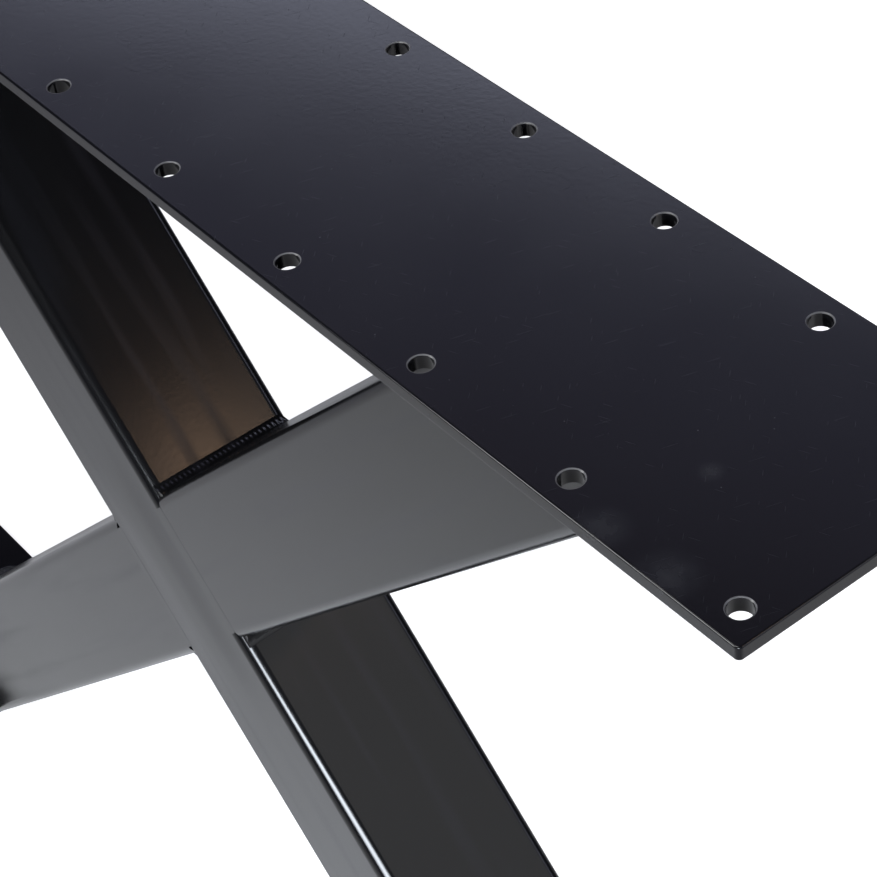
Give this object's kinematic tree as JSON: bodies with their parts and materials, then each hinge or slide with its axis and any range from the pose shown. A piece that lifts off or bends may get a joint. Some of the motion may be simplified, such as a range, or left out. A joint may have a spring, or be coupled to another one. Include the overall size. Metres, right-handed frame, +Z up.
{
  "type": "table leg",
  "caption": "X-shaped table leg of welded square steel tube with a long drilled top plate and flat foot plates, coated black.",
  "frame": {"origin": "on the floor, under the middle of the crossing of the two leg tubes", "axes": "+X along the top plate, towards the foot of the leg tube that runs through; +Y across the plate; +Z up"},
  "size_m": [1.0322, 0.134, 0.71],
  "materials": {
    "coated_plate": "satin",
    "coated_tube": "satin",
    "coated_weld": "satin"
  },
  "bodies": {
    "root": {"top_plate": "coated_plate", "long_leg": "coated_tube", "upper_half_leg": "coated_tube", "lower_half_leg": "coated_tube", "right_foot_plate": "coated_plate", "left_foot_plate": "coated_plate", "upper_leg_weld": "coated_weld", "lower_leg_weld": "coated_weld", "plate_welds": "coated_weld", "foot_welds": "coated_weld"}
  },
  "joints": []
}
